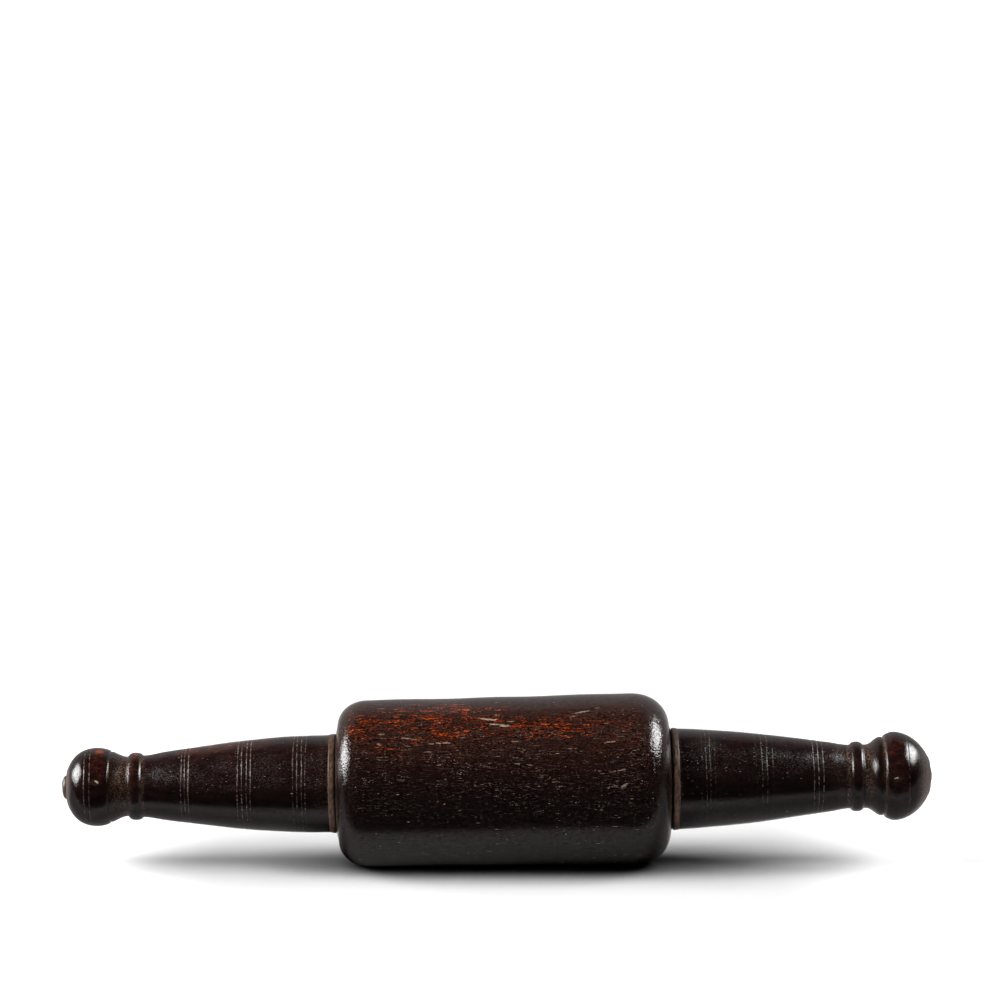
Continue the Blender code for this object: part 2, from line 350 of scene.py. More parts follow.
# ---------------------------------------------------------------- pieces
def scored_lines(lines, dusty, from_root, angle, seed):
    """Depth of the scored lines, and the dust that they hold."""
    depth = np.zeros(np.broadcast(from_root, angle).shape)
    dust = np.zeros_like(depth)
    seen = 0.12 + 0.88 * bump_at(angle_between(angle, 48), 1.05)
    for number, (at, deep) in enumerate(lines):
        phase = seed + 1.7 * number
        wander = 0.12 * np.sin(angle + phase) + 0.06 * np.sin(3 * angle + 2.3 * phase)
        distance = from_root / MM - at - wander
        strength = 0.75 + 0.25 * np.sin(2 * angle + phase) * np.sin(5 * angle - phase)
        depth += deep * MM * bump_at(distance, 0.22 if deep < WIDE_GROOVE_MM else 0.50) * strength
        dust += bump_at(distance, 0.21) * strength * seen * dusty[number]
    return depth, dust


def patch_mask(patches, height, angle, radius):
    """Soft-edged patches on a turned surface; lengths in millimetres."""
    total = np.zeros(np.broadcast(height, angle).shape)
    for at, angle_deg, half_length, half_width, strength in patches:
        across = angle_between(angle, angle_deg) * radius / MM
        total += strength * bump_at(height / MM - at, half_length) * bump_at(across, half_width)
    return total


def add_handle(side, look):
    """One handle, turned from its CAD section, with scored lines, dust in its hollows, and worn places that
    also carry a painted sheen.
    """
    node = side + "_handle"
    lines = LEFT_LINES_MM if side == "left" else RIGHT_LINES_MM
    dusty = LEFT_DUST if side == "left" else RIGHT_DUST
    worn_and_sheen_places = LEFT_WORN_AND_SHEEN_MM if side == "left" else RIGHT_WORN_AND_SHEEN_MM
    tip_worn = 3.2 * MM if side == "left" else 8.5 * MM
    rows, closed = section(node)
    root = rows[:, 0].max() if side == "left" else rows[:, 0].min()
    tip = rows[:, 0].min() if side == "left" else rows[:, 0].max()
    bore = rows[:, 1].min()
    curve = soften(smooth_section(rows, closed), closed)

    def spacing(height, radius):
        from_root = np.abs(height - root) / MM
        wanted = np.full(height.shape, ROW_SPACING)
        for at, _ in lines:
            wanted = np.where(np.abs(from_root - at) < 0.6, GROOVE_ROW_SPACING, wanted)
        return np.where(radius < bore + 0.3 * MM, BORE_ROW_SPACING, wanted)

    rows = resample(curve, closed, spacing)
    normal = outward_normals(rows, closed)
    angle = angles_round(HANDLE_COLUMNS)
    height, radius = rows[:, :1], rows[:, 1:]
    from_root = np.abs(height - root)
    length = abs(tip - root)
    outside = step_between(radius, bore + 0.2 * MM, bore + 1.0 * MM)
    depth, dust = scored_lines(lines, dusty, from_root, angle, 3.0 if side == "left" else 8.0)
    uneven = 0.06 * MM * ripple(5 if side == "left" else 6, height, angle, 40 * MM, 4)
    points = place_pushed(rows, normal, (uneven - depth) * outside, angle)

    # worn: real scuffed, rough places, which also take a painted sheen in the handle's colour
    worn = patch_mask(worn_and_sheen_places, from_root, angle, radius) + grip_wear_and_sheen(from_root, angle)
    masks = {
        "dust": (dust + 0 * radius) * outside,
        "hollow": hollow_dust(side, from_root, angle) * outside,
        "figure": handle_figure(side, from_root, angle),
        "pale": step_between(from_root, length - tip_worn, length - 0.4 * MM) * outside,
        "worn": worn * outside,
    }
    obj = grid_object(side + "_handle_fine", points, closed, masks)
    stand_in(obj, node, "spindle", look)
    return obj


def grip_wear_and_sheen(from_root, angle):
    """The grip's upper front is scuffed all along, with a painted sheen in the same band; the knob past it
    keeps its polish.
    """
    on_grip = step_between(-from_root, -88 * MM, -78 * MM)
    return 0.30 * bump_at(angle_between(angle, 36), 0.5) * on_grip


def hollow_dust(side, from_root, angle):
    """Old wax and dust in the coves, beside the bead and against the washer, most of it on top."""
    d = from_root / MM
    patchy = 0.7 + 0.3 * ripple(11 if side == "left" else 12, from_root, angle, 9 * MM, 9)
    if side == "left":
        places = [(0.0, 0.9, 0.6), (2.0, 4.0, 0.20), (87.2, 1.2, 0.8), (95.1, 2.6, 1.0), (99.4, 2.6, 0.5)]
    else:
        places = [(0.0, 0.9, 0.9), (79.2, 0.9, 1.0), (75.7, 4.0, 0.25), (88.0, 2.4, 0.9), (95.8, 0.7, 1.2)]
    total = sum(weight * bump_at(d - at, width) for at, width, weight in places)
    return total * patchy * (0.2 + 0.8 * bump_at(angle_between(angle, 52), 1.0))


def handle_figure(side, from_root, angle):
    """Where the wood shows red-brown: on the upper side, most of it on the left handle."""
    d = from_root / MM
    if side == "left":
        upper = 0.52 * bump_at(angle_between(angle, 84), 0.36) * bump_at(d - 50, 30)
        knob = 0.98 * bump_at(d - 107.2, 2.6) * bump_at(angle_between(angle, 77), 0.30)
        knob_front = 0.26 * bump_at(d - 107.0, 3.4) * bump_at(angle_between(angle, 50), 0.5)
        bead = 0.62 * bump_at(d - 90.9, 2.0) * bump_at(angle_between(angle, 92), 0.34)
        bead_front = 0.16 * bump_at(d - 90.9, 2.2) * bump_at(angle_between(angle, 45), 0.7)
        front = 0.17 * bump_at(angle_between(angle, 42), 0.75)
        return upper + knob + knob_front + bead + bead_front + front
    bead = 0.06 * bump_at(d - 82.7, 2.0) * bump_at(angle_between(angle, 60), 0.9)
    knob = 0.24 * bump_at(d - 101, 5.0) * bump_at(angle_between(angle, 45), 0.9)
    upper = 0.16 * bump_at(angle_between(angle, 88), 0.5)
    return 0.08 * bump_at(angle_between(angle, 50), 0.9) + upper + bead + knob


def barrel_columns():
    """Angles round the barrel, finest on the upper front, where most of the marks are."""
    steps = np.linspace(0, 2 * math.pi, 4000, endpoint=False)
    fine = 1 + 2.6 * step_between(1.05 - np.abs(angle_between(steps, 45)), 0.0, 0.3)
    load = np.concatenate([[0], np.cumsum(fine)])
    wanted = np.linspace(0, load[-1], BARREL_COLUMNS, endpoint=False)
    return np.interp(wanted, load, np.append(steps, 2 * math.pi))


def gouge_field(height, radius, angle):
    """Distance to the nearest gouge in units of its size, at most 8, and how raw the nearest ones are."""
    nearest = np.full(np.broadcast(height, angle).shape, 8.0)
    raw = np.zeros(nearest.shape)
    for at, angle_deg, length, width, slope_deg, bend in GOUGES_MM:
        slope = math.radians(slope_deg)
        ahead = height / MM - at + 0 * angle
        aside = angle_between(angle, angle_deg) * radius / MM
        u = (ahead * math.cos(slope) + aside * math.sin(slope)) / (length / 2)
        v = aside * math.cos(slope) - ahead * math.sin(slope) - bend * np.clip(u * u, 0, 2)
        distance = np.hypot(u**2, v / (width / 2))
        nearest = np.minimum(nearest, distance)
        raw = np.maximum(raw, step_between(length, 1.0, 8.5) * bump_at(distance, 3.0))
    return nearest, raw


def add_barrel(look):
    """The barrel, turned from its CAD section, dished a little, gouged, and flat where it rests."""
    rows, closed = section("barrel")
    bore = np.sort(rows[:, 1])[len(rows) // 4]
    curve = soften(smooth_section(rows, closed), closed)

    def spacing(_, radius):
        return np.where(radius < bore + 0.5 * MM, BORE_ROW_SPACING, BARREL_ROW_SPACING)

    rows = resample(curve, closed, spacing)
    normal = outward_normals(rows, closed)
    angle = barrel_columns()[None, :]
    height, radius = rows[:, :1], rows[:, 1:]
    outside = step_between(radius, bore + 0.5 * MM, bore + 2.5 * MM)
    field, raw = gouge_field(height, radius, angle)
    dished = 0.28 * MM * bump_at(height - 4 * MM, 40 * MM)
    uneven = 0.10 * MM * ripple(21, height, angle, 60 * MM, 5)
    dents = dent_depth(height, radius, angle)
    gouged = 0.18 * MM * bump_at(field, 1.2)
    points = place_pushed(rows, normal, (uneven - dished - gouged - dents) * outside, angle)
    points[..., 2] = np.maximum(points[..., 2], 0)
    masks = {
        "gouge": field / 8,
        "raw": 0.35 + 0.65 * raw,
        "hollow": step_between(-radius, -30 * MM, -23.5 * MM) * outside + 0 * angle,
        "figure": barrel_figure(height, angle, radius) * outside,
        # brown: painted light, which makes the base colour lighter over the upper front and darker on the
        # rest
        "brown": (0.06 + 0.94 * bump_at(angle_between(angle, 62), 0.68)) * outside,
        "fleck": fleck_crowding(height, angle) * outside,
        "end": step_between(np.abs(height - 3.5 * MM), 58 * MM, 70 * MM) * outside + 0 * angle,
    }
    obj = grid_object("barrel_fine", points, closed, masks)
    stand_in(obj, "barrel", "roller", look)


def dent_depth(height, radius, angle):
    """Shallow dents and bruises of use, scattered over the whole barrel."""
    rng = np.random.default_rng(33)
    total = np.zeros(np.broadcast(height, angle).shape)
    for _ in range(BARREL_DENTS):
        at = rng.uniform(-72, 78) * MM
        round_about = rng.uniform(0, 360)
        length = rng.uniform(1.2, 5.0) * MM
        width = rng.uniform(0.7, 2.2) * MM
        deep = rng.uniform(0.03, 0.11) * MM
        across = angle_between(angle, round_about) * radius
        total += deep * bump_at(height - at, length) * bump_at(across, width)
    return total


def barrel_figure(height, angle, radius):
    """Where the barrel's wood shows orange: a band over its upper side, strongest to the left."""
    x = height / MM
    top = bump_at(angle_between(angle, 64), 0.48)
    along = 0.20 + 0.27 * bump_at(x + 34, 50)
    low = 0.10 * bump_at(angle_between(angle, 25), 0.35)
    back = 0.35 * bump_at(angle_between(angle, 205), 0.45)
    under = 0.20 * bump_at(angle_between(angle, 290), 0.3)
    edge = step_between(x, -75, -66) * step_between(-x, -80, -62)
    return (top * along + low + back + under + patch_mask(ORANGE_MM, height, angle, radius)) * edge


def fleck_crowding(height, angle):
    """How closely the pale flecks lie: thick over the upper front, few on the rest."""
    x = height / MM
    front = bump_at(angle_between(angle, 34), 0.58)
    ends = step_between(x, -73, -64) * step_between(-x, -80, -70)
    return (0.12 + 0.88 * front) * ends


def add_axle(look):
    """The axle, with worn and slightly uneven end grain."""
    rows, _ = section("axle")
    first, last = rows[0], rows[-1]
    rows = np.concatenate([[(first[0], 0.8 * MM)], rows, [(last[0], 0.8 * MM)]])
    curve = soften(smooth_section(rows, False), False)
    ends = np.array([curve[0, 0], curve[-1, 0]])

    def spacing(height, _):
        near = np.minimum(np.abs(height - ends[0]), np.abs(height - ends[1]))
        return np.where(near < 4 * MM, 0.25 * MM, BORE_ROW_SPACING)

    rows = resample(curve, False, spacing)
    normal = outward_normals(rows, False)
    angle = angles_round(AXLE_COLUMNS)
    height, radius = rows[:, :1], rows[:, 1:]
    worn = 0.10 * MM * ripple(41, height, angle, 3 * MM, 3)
    past_knob = np.clip((np.abs(height) - NUB_STARTS) / (ends[1] - NUB_STARTS), 0, 1)
    shift = (worn - 0.12 * MM) * step_between(past_knob, 0.5, 0.95)
    crown = 0.93 - (1 - np.sqrt(np.clip(1 - past_knob**2.4, 0, 1))) * 0.60
    rows = np.concatenate([height, radius * crown], axis=1)
    points = place_pushed(rows, normal, shift, angle)
    obj = grid_object("axle_fine", points, False, {})
    stand_in(obj, "axle", "spindle", look)


def add_washer(side, look):
    """A washer pressed against its handle, flush with it and worn lower towards the barrel."""
    node = side + "_thrust_washer"
    outward = -1 if side == "left" else 1
    rows, closed = section(node)
    inner = (rows[:, 0] * outward).min()
    thickness = (rows[:, 0] * outward).max() - inner
    rim = rows[:, 1].max()
    curve = soften(smooth_section(rows, closed), closed)

    def spacing(_, radius):
        return np.where(radius > rim - 1.5 * MM, 0.2 * MM, 2.5 * MM)

    rows = resample(curve, closed, spacing)
    angle = angles_round(WASHER_COLUMNS)
    height, radius = rows[:, :1], rows[:, 1:]
    near_rim = step_between(radius, rim - 1.2 * MM, rim - 0.2 * MM)
    depth = (height * outward - inner) / thickness
    at_edge = step_between(radius, rim - 1.2 * MM, rim - 0.4 * MM)
    reach = WASHER_REACH * step_between(depth, 0.70, 1.0) * at_edge
    uneven = 0.10 * ripple(51 if side == "left" else 52, height, angle, 20 * MM, 7)
    swell = (uneven - 0.50 * depth**2 - 0.35 * (1 - depth) ** 3) * MM
    points = place(height + reach * outward + 0 * angle, radius + swell * near_rim, angle + 0 * height)
    masks = {"handle_side": np.clip(depth, 0, 1) + 0 * angle}
    obj = grid_object(side + "_washer_fine", points, closed, masks)
    stand_in(obj, node, "spindle", look)


def peg_line(node):
    """Centre, direction towards the front, half length and radius of a cross peg."""
    points = np.array([v.co for v in frame["nodes"][node].data.vertices])
    centre = points.mean(0)
    offsets = points - centre
    direction = np.linalg.svd(offsets)[2][0]
    if direction[1] > 0:
        direction = -direction
    along = offsets @ direction
    across = np.linalg.norm(offsets - along[:, None] * direction, axis=1)
    return Vector(centre), Vector(direction), np.abs(along).max(), across.max()


def turned_about(name, centre, direction, rows, columns):
    """A closed turned piece about any line: rows of (height, radius)."""
    turn = Vector((0, 0, 1)).rotation_difference(direction).to_matrix()
    angle = angles_round(columns)
    height, radius = rows[:, :1], rows[:, 1:]
    local = np.stack([radius * np.cos(angle), radius * np.sin(angle), height + 0 * angle], axis=-1)
    points = local @ np.array(turn).T + np.array(centre)
    return grid_object(name, points, False, {})


def add_peg(side, handle, look):
    """A cross peg cut flush with the knob, in its own hole, with a pale chip broken from its end."""
    node = side + "_cross_peg"
    centre, direction, half, radius = peg_line(node)
    flush = half + 0.24 * MM
    ring = np.concatenate([np.linspace(0.06, 0.94, 14), [1.0]])
    crown = [(flush - 0.16 * MM * k**2, radius * k) for k in ring]
    back_crown = [(-h, r) for h, r in crown]
    rows = np.array(back_crown + [(-half * 0.5, radius), (half * 0.5, radius)] + crown[::-1])
    obj = turned_about(node + "_fine", centre, direction, rows, PEG_COLUMNS)
    chip = obj.data.attributes.new("chip", "FLOAT", "POINT")
    at, slope_deg, length, width = PEG_CHIPS_MM[side]
    slope = math.radians(slope_deg)
    above = direction.cross(ALONG) if direction.cross(ALONG).z > 0 else -direction.cross(ALONG)
    for index, vert in enumerate(obj.data.vertices):
        offset = (vert.co - centre) / MM
        u = offset.dot(ALONG) - at[0]
        v = offset.dot(above) - at[1]
        ahead = u * math.cos(slope) + v * math.sin(slope)
        aside = v * math.cos(slope) - u * math.sin(slope) + 0.35 * ahead**2
        front = offset.dot(direction) > 0
        chip.data[index].value = front * bump_at(ahead, length / 2) * bump_at(aside, width / 2)
    stand_in(obj, node, "spindle", look)
    hole_radius = radius + 0.03 * MM
    hole_rows = np.array([(-half - 3 * MM, hole_radius), (half + 3 * MM, hole_radius)])
    cutter = turned_about(node + "_hole", centre, direction, hole_rows, PEG_COLUMNS)
    boolean = handle.modifiers.new("peg hole", "BOOLEAN")
    boolean.operation = "DIFFERENCE"
    boolean.solver = "EXACT"
    boolean.object = cutter
    bpy.context.view_layer.update()
    graph = bpy.context.evaluated_depsgraph_get()
    cut = bpy.data.meshes.new_from_object(handle.evaluated_get(graph), depsgraph=graph)
    handle.modifiers.clear()
    handle.data = cut
    bpy.data.objects.remove(cutter)


# ---------------------------------------------------------------- materials
class Graph:
    """Short names for making the nodes of one material or world."""

    def __init__(self, owner):
        self.owner = owner
        owner.use_nodes = True
        self.tree = owner.node_tree
        self.shader = self.tree.nodes.get("Principled BSDF")

    def node(self, kind, inputs=(), **settings):
        made = self.tree.nodes.new(kind)
        for key, value in settings.items():
            setattr(made, key, value)
        for key, value in dict(inputs).items():
            self.set(made.inputs[key], value)
        return made

    def set(self, socket, value):
        if isinstance(value, bpy.types.NodeSocket):
            self.tree.links.new(value, socket)
        else:
            socket.default_value = value

    def grain_space(self):
        """The piece's own place in millimetres, with X along the axle."""
        place_node = self.node("ShaderNodeTexCoord")
        mapping = self.node(
            "ShaderNodeMapping",
            {
                "Vector": place_node.outputs["Object"],
                "Location": tuple(AXLE_POINT),
                "Rotation": (0, -TILT, 0),
                "Scale": (MM, MM, MM),
            },
            vector_type="TEXTURE",
        )
        return mapping.outputs[0]

    def scaled(self, vector, size, offset=(0, 0, 0)):
        """The vector in units of size, a length along and two across, in millimetres."""
        inputs = {"Vector": vector, "Scale": tuple(1 / s for s in size), "Location": offset}
        return self.node("ShaderNodeMapping", inputs).outputs[0]

    def noise(self, vector, size, offset=(0, 0, 0), detail=3.0, roughness=0.55, output="Fac"):
        scaled = self.scaled(vector, size, offset)
        inputs = {"Vector": scaled, "Scale": 1.0, "Detail": detail, "Roughness": roughness}
        return self.node("ShaderNodeTexNoise", inputs).outputs[output]

    def warped(self, vector, wave, amount):
        """The vector pushed across the grain by slow noise, so that the grain wanders."""
        drift = self.noise(vector, (wave, wave * 0.6, wave * 0.6), (7, 3, 1), 1.0, 0.5, "Color")
        centred = self.vector_math("SUBTRACT", drift, (0.5, 0.5, 0.5))
        sized = self.vector_math("MULTIPLY", centred, (0, amount, amount))
        return self.vector_math("ADD", vector, sized)

    def vector_math(self, operation, a, b):
        return self.node("ShaderNodeVectorMath", {0: a, 1: b}, operation=operation).outputs[0]

    def flecks(self, vector, size, offset, often, radius):
        """Separate pointed flecks: one in each cell of the given size, shown as often as asked, 0 to 1."""
        inputs = {"Vector": self.scaled(vector, size, offset), "Scale": 1.0, "Randomness": 1.0}
        cells = self.node("ShaderNodeTexVoronoi", inputs)
        parts = self.node("ShaderNodeSeparateXYZ", {0: cells.outputs["Color"]})
        inside = self.band(cells.outputs["Distance"], radius, radius * 0.55)
        chosen = self.math("LESS_THAN", parts.outputs[0], often)
        bright = self.plus(self.times(self.math("POWER", parts.outputs[1], 2.5), 0.85), 0.12)
        return self.times(self.times(inside, chosen), bright)

    def gouges(self, grain):
        """Pale raw wood in the gouges that the mesh carries, frayed along the grain."""
        fray = self.minus(self.noise(grain, (2.2, 0.34, 0.34), (4, 4, 4), 2.0, 0.6), 0.5)
        away = self.plus(self.times(self.attribute("gouge"), 8), self.times(fray, 5.0))
        return self.band(away, 1.25, 0.55)

    def math(self, operation, a, b=0.0, clamp=False):
        return self.node("ShaderNodeMath", {0: a, 1: b}, operation=operation, use_clamp=clamp).outputs[0]

    def plus(self, a, b):
        return self.math("ADD", a, b)

    def minus(self, a, b):
        return self.math("SUBTRACT", a, b)

    def times(self, a, b):
        return self.math("MULTIPLY", a, b)

    def most(self, a, b):
        return self.math("MAXIMUM", a, b)

    def band(self, value, low, high, to_low=0.0, to_high=1.0):
        """A smooth step of value between low and high."""
        inputs = {"Value": value, "From Min": low, "From Max": high, "To Min": to_low, "To Max": to_high}
        return self.node("ShaderNodeMapRange", inputs, interpolation_type="SMOOTHSTEP").outputs[0]

    def ramp(self, value, stops):
        made = self.node("ShaderNodeValToRGB", {"Fac": value})
        elements = made.color_ramp.elements
        while len(elements) < len(stops):
            elements.new(1.0)
        for element, (position, colour) in zip(elements, stops):
            element.position = position
            element.color = (*colour, 1.0)
        return made.outputs["Color"]

    def mix(self, factor, a, b, blend="MIX"):
        made = self.node("ShaderNodeMix", data_type="RGBA", blend_type=blend)
        for socket, value in zip((made.inputs[0], made.inputs[6], made.inputs[7]), (factor, a, b)):
            self.set(socket, (*value, 1.0) if isinstance(value, tuple) else value)
        return made.outputs[2]

    def attribute(self, name):
        return self.node("ShaderNodeAttribute", attribute_name=name).outputs["Fac"]

    def bump(self, height, depth, below=None):
        inputs = {"Height": height, "Distance": depth, "Strength": 1.0}
        if below is not None:
            inputs["Normal"] = below
        return self.node("ShaderNodeBump", inputs).outputs[0]

    def finish(self, colour, roughness, normal, specular=0.5):
        self.set(self.shader.inputs["Base Color"], colour)
        self.set(self.shader.inputs["Roughness"], roughness)
        self.set(self.shader.inputs["Normal"], normal)
        self.set(self.shader.inputs["Specular IOR Level"], specular)
        return self.owner


DUST = (0.40, 0.29, 0.21)
DUST_DARK = (0.130, 0.080, 0.048)


def barrel_wood():
    """Near-black polished wood with orange figure, pale flecks, frayed gouges and dusty ends."""
    g = Graph(bpy.data.materials.new("barrel_wood"))
    place_mm = g.grain_space()
    grain = g.warped(place_mm, 30, 5.0)
    wavy = g.warped(place_mm, 6, 1.8)
    figure = g.attribute("figure")
    fleck = g.attribute("fleck")
    end = g.attribute("end")
    broad = g.noise(grain, (26, 6, 6), (1, 2, 3), 2.0)
    streaks = g.noise(grain, (8.0, 1.1, 1.1), (5, 9, 2), 3.0, 0.62)
    dashes = g.noise(wavy, (1.3, 0.56, 0.56), (3, 1, 8), 2.0, 0.65)
    threads = g.noise(wavy, (5.5, 0.36, 0.36), (9, 2, 5), 1.0, 0.5)
    grit = g.noise(place_mm, (0.75, 0.45, 0.45), (8, 8, 2), 2.0, 0.7)

    heat = g.times(figure, g.band(broad, 0.30, 0.64, 0.5, 1.15))
    swing = g.times(g.minus(streaks, 0.53), 3.3)
    fine = g.times(g.minus(dashes, 0.53), 3.0)
    spread = g.times(g.plus(swing, fine), g.band(heat, 0.0, 0.40, 0.1, 1.0))
    value = g.math("ADD", g.times(heat, 0.60), spread, clamp=True)
    glow = g.ramp(
        value,
        [
            (0.15, (0.0000, 0.0000, 0.0000)),
            (0.42, (0.0260, 0.0030, 0.0004)),
            (0.68, (0.1550, 0.0165, 0.0008)),
            (0.95, (0.4800, 0.0750, 0.0010)),
        ],
    )
    grainy = g.times(g.band(streaks, 0.32, 0.68, 0.5, 1.4), g.band(dashes, 0.36, 0.64, 0.12, 1.9))
    # painted light and shade: the base colour runs from near-black away from the upper front to a lit
    # red-brown over it
    lit = g.mix(g.attribute("brown"), (0.0050, 0.0034, 0.0034), (0.0370, 0.0142, 0.0098))
    base = g.mix(grainy, (0.0003, 0.0002, 0.0003), lit)
    thread = g.times(g.band(threads, 0.58, 0.68), g.band(grit, 0.42, 0.58, 0.0, 1.0))
    crowd = g.noise(grain, (26, 5, 5), (2, 8, 4), 2.0)
    thread = g.times(thread, g.band(fleck, 0.1, 0.9, 0.30, 1.0))
    thread = g.times(thread, g.band(crowd, 0.36, 0.60, 0.45, 1.15))
    base = g.mix(thread, base, (0.064, 0.046, 0.039))
    base = g.mix(g.times(value, 0.9), base, (0.0, 0.0, 0.0))
    wood = g.mix(1.0, base, glow, "ADD")

    often = g.times(g.band(crowd, 0.41, 0.62, 0.05, 0.66), fleck)
    broken = g.band(grit, 0.42, 0.56, 0.1, 1.0)
    flecks = g.flecks(wavy, (9.0, 0.55, 0.55), (1, 0, 0), often, 0.26)
    short = g.flecks(wavy, (3.4, 0.42, 0.42), (4, 4, 1), often, 0.28)
    dots = g.flecks(place_mm, (1.5, 0.75, 0.75), (2, 7, 3), often, 0.27)
    flecks = g.most(flecks, g.times(g.most(short, dots), 0.75))
    flecks = g.times(flecks, broken)
    scars = g.times(g.times(g.gouges(grain), g.attribute("raw")), g.band(grit, 0.36, 0.52, 0.4, 1.0))
    marks = g.most(flecks, scars)
    hollow = g.times(g.attribute("hollow"), g.band(crowd, 0.3, 0.7, 0.2, 0.7))
    colour = g.mix(marks, wood, DUST)
    colour = g.mix(hollow, colour, DUST_DARK)

    skin = g.noise(place_mm, (2.2, 0.9, 0.9), (6, 6, 6), 1.0, 0.5)
    end_grain = g.noise(place_mm, (0.9, 0.9, 0.9), (1, 6, 3), 0.0)
    worn = g.times(g.most(marks, hollow), 0.35)
    rough = g.plus(g.band(skin, 0.35, 0.7, 0.13, 0.22), worn)
    rough = g.minus(rough, g.times(end, 0.07))
    pores = g.band(dashes, 0.36, 0.50, 0.14, 0.44)
    relief = g.bump(dashes, 0.06 * MM)
    relief = g.bump(skin, 0.07 * MM, relief)
    relief = g.bump(g.times(end_grain, end), 0.11 * MM, relief)
    relief = g.bump(g.minus(1.0, flecks), 0.08 * MM, relief)
    return g.finish(colour, rough, relief, pores)


def handle_wood():
    """The same wood, closer and more polished, with dust in its scored lines and hollows."""
    g = Graph(bpy.data.materials.new("handle_wood"))
    place_mm = g.grain_space()
    grain = g.warped(place_mm, 40, 3.0)
    figure = g.attribute("figure")
    worn = g.attribute("worn")
    scored = g.attribute("dust")
    streaks = g.noise(grain, (10.0, 1.6, 1.6), (5, 3, 2), 3.0, 0.6)
    mottle = g.noise(place_mm, (5, 3, 3), (8, 1, 5), 3.0, 0.65)
    fine = g.noise(grain, (1.6, 0.50, 0.50), (1, 7, 3), 2.0, 0.65)
    grit = g.noise(place_mm, (0.8, 0.5, 0.5), (3, 6, 3), 2.0, 0.7)

    heat = g.times(figure, g.band(mottle, 0.34, 0.64, 0.35, 1.15))
    swing = g.times(g.minus(g.plus(streaks, fine), 1.0), 1.2)
    swing = g.times(swing, g.band(heat, 0.0, 0.5, 0.16, 0.9))
    value = g.math("ADD", g.times(heat, 0.70), swing, clamp=True)
    wood = g.ramp(
        value,
        [
            (0.00, (0.0028, 0.0019, 0.0019)),
            (0.20, (0.0200, 0.0066, 0.0052)),
            (0.50, (0.0700, 0.0120, 0.0045)),
            (0.95, (0.3900, 0.0720, 0.0080)),
        ],
    )

    gaps = g.noise(place_mm, (4.0, 2.2, 2.2), (5, 1, 1), 2.0, 0.6)
    dotted = g.noise(place_mm, (1.2, 1.0, 1.0), (2, 2, 9), 2.0, 0.7)
    lines = g.times(scored, g.band(dotted, 0.44, 0.56, 0.0, 1.2))
    lines = g.times(lines, g.band(gaps, 0.40, 0.58, 0.10, 1.0))
    crowd = g.noise(place_mm, (12, 7, 7), (3, 8, 1), 2.0)
    # pale flecks crowd into the worn places, partly as painted glints of the sheen there
    often = g.most(g.band(crowd, 0.46, 0.70, 0.0, 0.14), g.times(worn, 1.0))
    flecks = g.flecks(g.warped(place_mm, 6, 1.5), (2.2, 0.60, 0.60), (1, 2, 0), often, 0.25)
    flecks = g.times(flecks, g.band(grit, 0.40, 0.56, 0.2, 0.9))
    marks = g.most(lines, flecks)
    speckle = g.noise(place_mm, (0.8, 0.6, 0.6), (5, 2, 4), 3.0, 0.75)
    hollow = g.times(g.attribute("hollow"), g.band(speckle, 0.46, 0.62, 0.05, 1.0))
    pale = g.times(g.attribute("pale"), g.band(grit, 0.25, 0.6, 0.35, 1.0))
    # painted sheen: the grey scuffs on the worn places stand partly for real scuffing and partly for light
    # caught by the rough wood
    scuffs_and_sheen = g.times(g.band(grit, 0.47, 0.60), g.band(worn, 0.02, 0.45, 0.0, 0.70))
    scuffs_and_sheen = g.times(scuffs_and_sheen, g.band(crowd, 0.36, 0.62, 0.35, 1.1))
    colour = g.mix(scuffs_and_sheen, wood, (0.040, 0.031, 0.030))
    colour = g.mix(hollow, colour, (0.200, 0.122, 0.078))
    colour = g.mix(marks, colour, DUST)
    colour = g.mix(pale, colour, (0.085, 0.055, 0.040))

    skin = g.noise(place_mm, (1.6, 1.1, 1.1), (6, 6, 6), 2.0, 0.6)
    dull = g.most(g.most(hollow, marks), pale)
    rough = g.plus(g.band(skin, 0.35, 0.7, 0.07, 0.16), g.times(dull, 0.36))
    rough = g.plus(rough, g.times(worn, 0.06))
    rough = g.plus(rough, g.times(scored, 0.42))
    gritty = g.most(worn, g.attribute("hollow"))
    relief = g.bump(fine, 0.07 * MM)
    relief = g.bump(skin, 0.05 * MM, relief)
    relief = g.bump(g.times(grit, gritty), 0.32 * MM, relief)
    pores = g.times(g.band(fine, 0.36, 0.50, 0.2, 0.5), g.band(scored, 0.0, 0.8, 1.0, 0.4))
    return g.finish(colour, rough, relief, pores)


def end_grain():
    """Grey-brown worn end grain of the axle."""
    g = Graph(bpy.data.materials.new("axle_end_grain"))
    place_mm = g.grain_space()
    dots = g.noise(place_mm, (6, 0.6, 0.6), (2, 1, 1), 3.0, 0.7)
    cloud = g.noise(place_mm, (5, 3, 3), (1, 1, 7), 2.0)
    colour = g.ramp(
        dots,
        [
            (0.30, (0.030, 0.020, 0.017)),
            (0.55, (0.090, 0.060, 0.046)),
            (0.75, (0.170, 0.120, 0.095)),
        ],
    )
    colour = g.mix(g.band(cloud, 0.4, 0.65, 0.0, 0.6), colour, (0.030, 0.020, 0.016))
    return g.finish(colour, g.band(cloud, 0.3, 0.7, 0.30, 0.45), g.bump(dots, 0.10 * MM))


